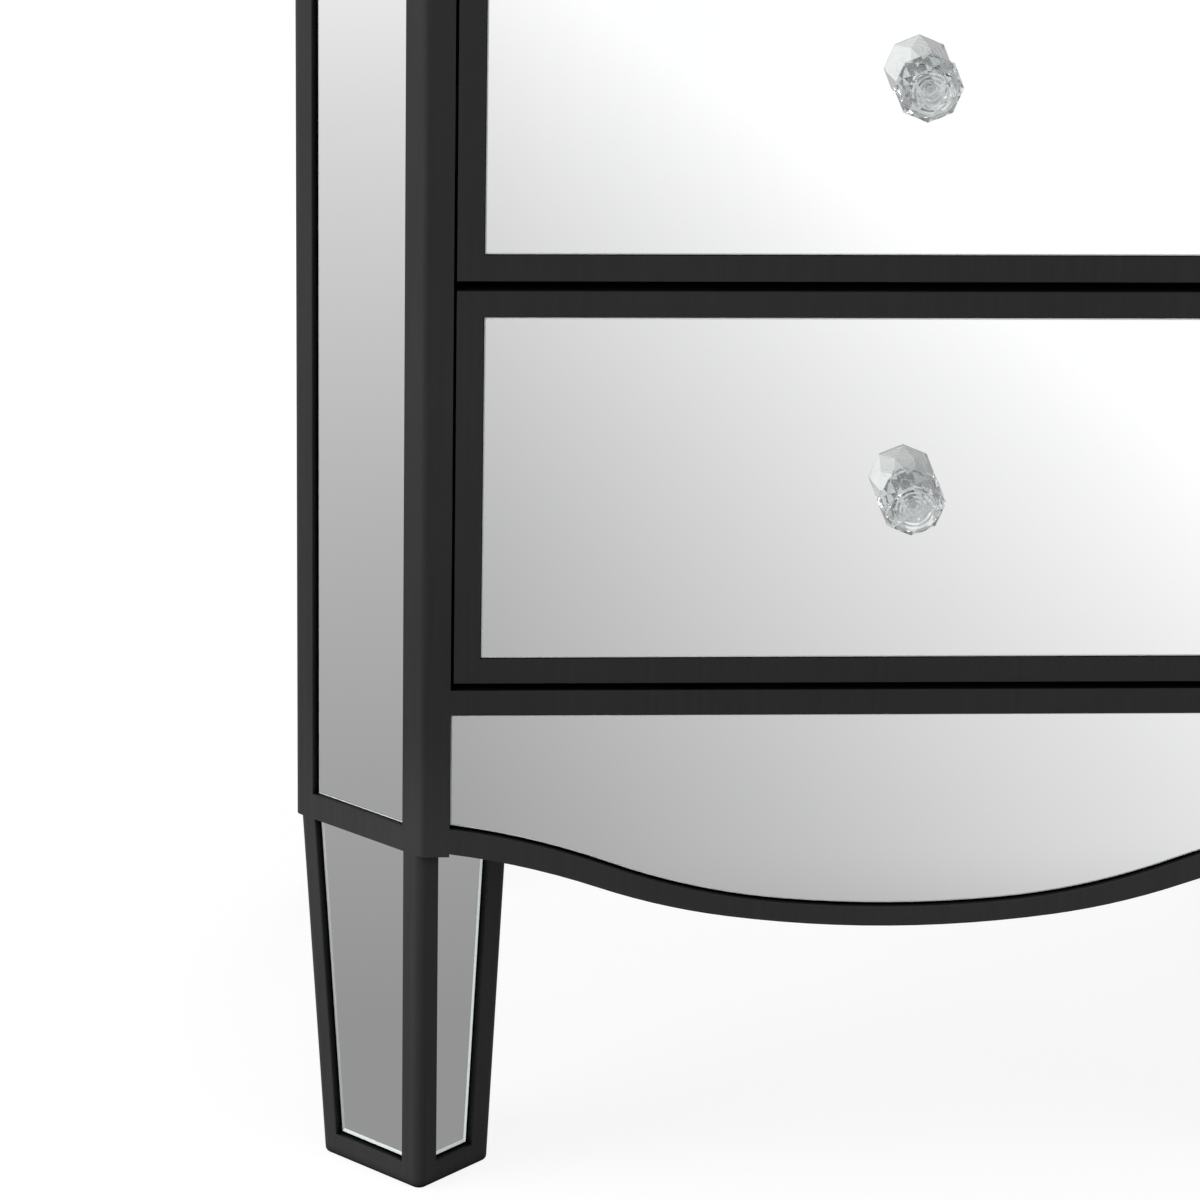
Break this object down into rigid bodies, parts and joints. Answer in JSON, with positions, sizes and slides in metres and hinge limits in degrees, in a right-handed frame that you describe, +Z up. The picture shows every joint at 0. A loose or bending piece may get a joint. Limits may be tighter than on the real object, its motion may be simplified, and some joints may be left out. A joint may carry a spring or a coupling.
{
  "type": "mirrored nightstand",
  "caption": "Mirrored nightstand with canted front corners, black frames, glass knobs, an ogee apron, tapered legs and drawers on telescopic slides.",
  "frame": {"origin": "on the floor, under the middle of the whole object's box, knobs and back screws included", "axes": "+Z up, front with the drawers faces -Y, +X to the right as seen from the front"},
  "size_m": [0.521, 0.4078, 0.6155],
  "materials": {
    "black_lacquer": "satin black lacquer on fibreboard",
    "mirror_glass": "silvered glass with polished bevelled edges",
    "drawer_birch": "clear-sealed birch plywood",
    "carcass_board": "matt black board",
    "slide_steel": "zinc-plated rolled steel",
    "fastener_steel": "zinc-plated steel",
    "knob_chrome": "polished chrome",
    "knob_crystal": "clear faceted crystal glass"
  },
  "bodies": {
    "case": {"apron": "black_lacquer", "apron_mirror": "mirror_glass", "back_panel": "carcass_board", "back_panel_screws": "fastener_steel", "bottom_panel": "carcass_board", "left_corner_mirror": "mirror_glass", "left_corner_post": "black_lacquer", "left_front_leg": "black_lacquer", "left_leg_inner_mirror": "mirror_glass", "left_leg_outer_mirror": "mirror_glass", "left_liner": "carcass_board", "left_rear_leg": "black_lacquer", "left_side_mirror": "mirror_glass", "left_side_panel": "black_lacquer", "leg_bolts": "fastener_steel", "lower_left_case_rail": "slide_steel", "lower_right_case_rail": "slide_steel", "right_corner_mirror": "mirror_glass", "right_corner_post": "black_lacquer", "right_front_leg": "black_lacquer", "right_leg_inner_mirror": "mirror_glass", "right_leg_outer_mirror": "mirror_glass", "right_liner": "carcass_board", "right_rear_leg": "black_lacquer", "right_side_mirror": "mirror_glass", "right_side_panel": "black_lacquer", "top_board": "black_lacquer", "top_mirror": "mirror_glass", "top_rail": "black_lacquer", "upper_left_case_rail": "slide_steel", "upper_right_case_rail": "slide_steel"},
    "upper_drawer": {"upper_drawer_back": "drawer_birch", "upper_drawer_bottom": "drawer_birch", "upper_drawer_front": "black_lacquer", "upper_drawer_left_side": "drawer_birch", "upper_drawer_mirror": "mirror_glass", "upper_drawer_right_side": "drawer_birch", "upper_knob": "knob_crystal", "upper_knob_base": "knob_chrome", "upper_knob_bolt": "fastener_steel", "upper_left_drawer_rail": "slide_steel", "upper_right_drawer_rail": "slide_steel"},
    "lower_drawer": {"lower_drawer_back": "drawer_birch", "lower_drawer_bottom": "drawer_birch", "lower_drawer_front": "black_lacquer", "lower_drawer_left_side": "drawer_birch", "lower_drawer_mirror": "mirror_glass", "lower_drawer_right_side": "drawer_birch", "lower_knob": "knob_crystal", "lower_knob_base": "knob_chrome", "lower_knob_bolt": "fastener_steel", "lower_left_drawer_rail": "slide_steel", "lower_right_drawer_rail": "slide_steel"},
    "upper_slide_middle": {"upper_left_middle_rail": "slide_steel", "upper_right_middle_rail": "slide_steel"},
    "lower_slide_middle": {"lower_left_middle_rail": "slide_steel", "lower_right_middle_rail": "slide_steel"}
  },
  "joints": [
    {"name": "upper_drawer_slide", "type": "slide", "parent": "case", "child": "upper_drawer", "axis": [0, -1, 0], "range_m": [0, 0.26]},
    {"name": "lower_drawer_slide", "type": "slide", "parent": "case", "child": "lower_drawer", "axis": [0, -1, 0], "range_m": [0, 0.26]},
    {"name": "upper_middle_slide", "type": "slide", "parent": "case", "child": "upper_slide_middle", "axis": [0, -1, 0], "range_m": [0, 0.13]},
    {"name": "lower_middle_slide", "type": "slide", "parent": "case", "child": "lower_slide_middle", "axis": [0, -1, 0], "range_m": [0, 0.13]}
  ],
  "couplings": [
    {"joint": "upper_middle_slide", "follows": "upper_drawer_slide", "ratio": 0.5},
    {"joint": "lower_middle_slide", "follows": "lower_drawer_slide", "ratio": 0.5}
  ]
}
